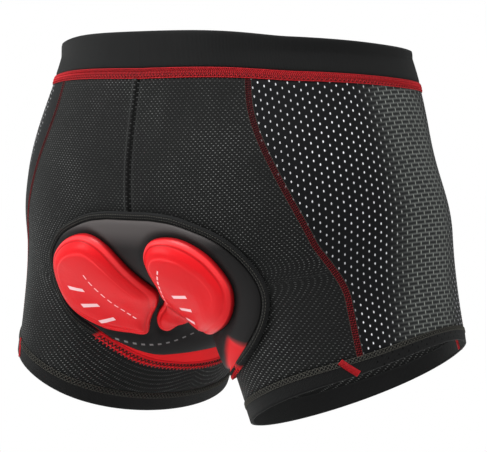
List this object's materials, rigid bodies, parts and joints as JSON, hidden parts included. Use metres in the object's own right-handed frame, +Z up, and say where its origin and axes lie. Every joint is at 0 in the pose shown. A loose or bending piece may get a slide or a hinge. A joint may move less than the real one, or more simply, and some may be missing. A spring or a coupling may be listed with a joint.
{
  "type": "padded undershorts",
  "caption": "Close-fitting cycling undershorts with elastic waist, mesh side panels and a padded seat with gel cushions.",
  "frame": {"origin": "middle of the waistband, on the body's middle line, where the wearer's waist holds the shorts", "axes": "+Z up, the wearer faces -Y, +X is the wearer's left"},
  "size_m": [0.3904, 0.2281, 0.2926],
  "materials": {
    "black_knit": "matt knitted polyester and elastane with tiny pale dots",
    "black_mesh": "matt open knit with small oval holes",
    "band_elastic": "matt fine elastic knit",
    "red_stitching": "flat cover stitching in red thread",
    "red_fabric": "smooth brushed knit",
    "charcoal_foam": "smooth satin knit over foam",
    "red_gel": "satin stretch cover over gel"
  },
  "bodies": {
    "root": {"waistband": "band_elastic", "waist_seam_tape": "red_stitching", "front_panel": "black_knit", "back_panel_left": "black_knit", "back_panel_right": "black_knit", "side_mesh_left": "black_mesh", "side_mesh_right": "black_mesh", "hem_band_left": "band_elastic", "hem_band_right": "band_elastic", "pad_base": "red_fabric", "pad_foam": "charcoal_foam", "pad_binding": "band_elastic", "gel_left": "red_gel", "gel_right": "red_gel", "gel_center": "red_gel"}
  },
  "joints": []
}
